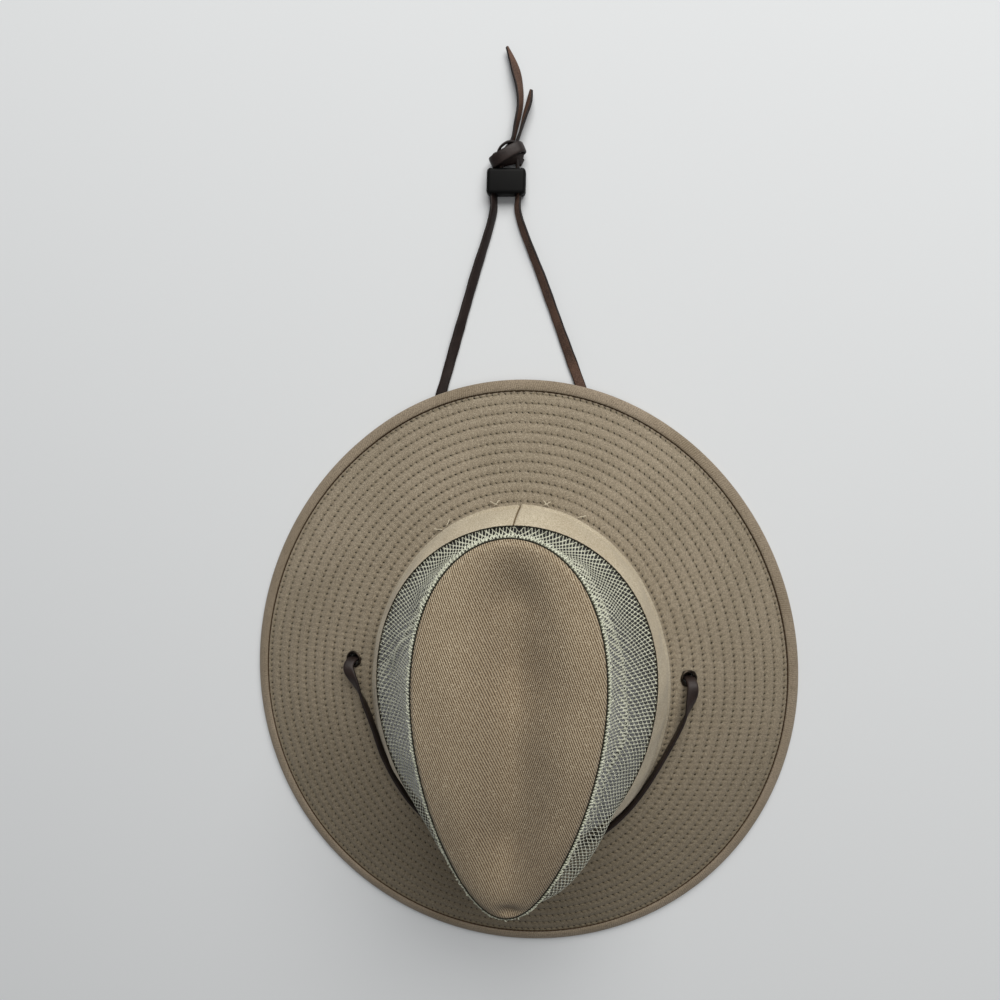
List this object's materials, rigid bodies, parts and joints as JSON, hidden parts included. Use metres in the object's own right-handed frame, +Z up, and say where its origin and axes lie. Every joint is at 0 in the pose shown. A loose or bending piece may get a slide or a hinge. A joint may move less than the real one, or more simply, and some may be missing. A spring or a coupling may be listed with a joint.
{
  "type": "safari hat with a leather chin lace",
  "caption": "Wide-brimmed safari hat with a stitched twill brim, a mesh-sided creased crown, and a leather chin lace through brim eyelets to a slide and knot.",
  "frame": {"origin": "the middle of the brim's outline on the ground that the brim rests on", "axes": "+Z up along the crown, +Y to the back of the hat, +X to the wearer's left, which is the right of the picture"},
  "size_m": [0.325, 0.5295, 0.1221],
  "materials": {
    "brim_twill": "washed cotton twill, row-stitched",
    "binding_twill": "folded cotton twill strip",
    "band_cotton": "plain cotton",
    "mesh_net": "knitted polyester net",
    "top_twill": "ribbed cotton twill",
    "eyelet_metal": "dark antiqued",
    "lace_leather": "dyed latigo with a brown flesh side",
    "slide_plastic": "moulded, matte"
  },
  "bodies": {
    "root": {"brim": "brim_twill", "brim_binding": "binding_twill", "crown_band": "band_cotton", "crown_mesh": "mesh_net", "crown_top": "top_twill", "eyelet_left": "eyelet_metal", "eyelet_right": "eyelet_metal", "lace_front": "lace_leather", "lace_leg_left": "lace_leather", "lace_leg_right": "lace_leather", "lace_slide": "slide_plastic", "lace_knot": "lace_leather", "lace_tail_long": "lace_leather", "lace_tail_short": "lace_leather"}
  },
  "joints": []
}
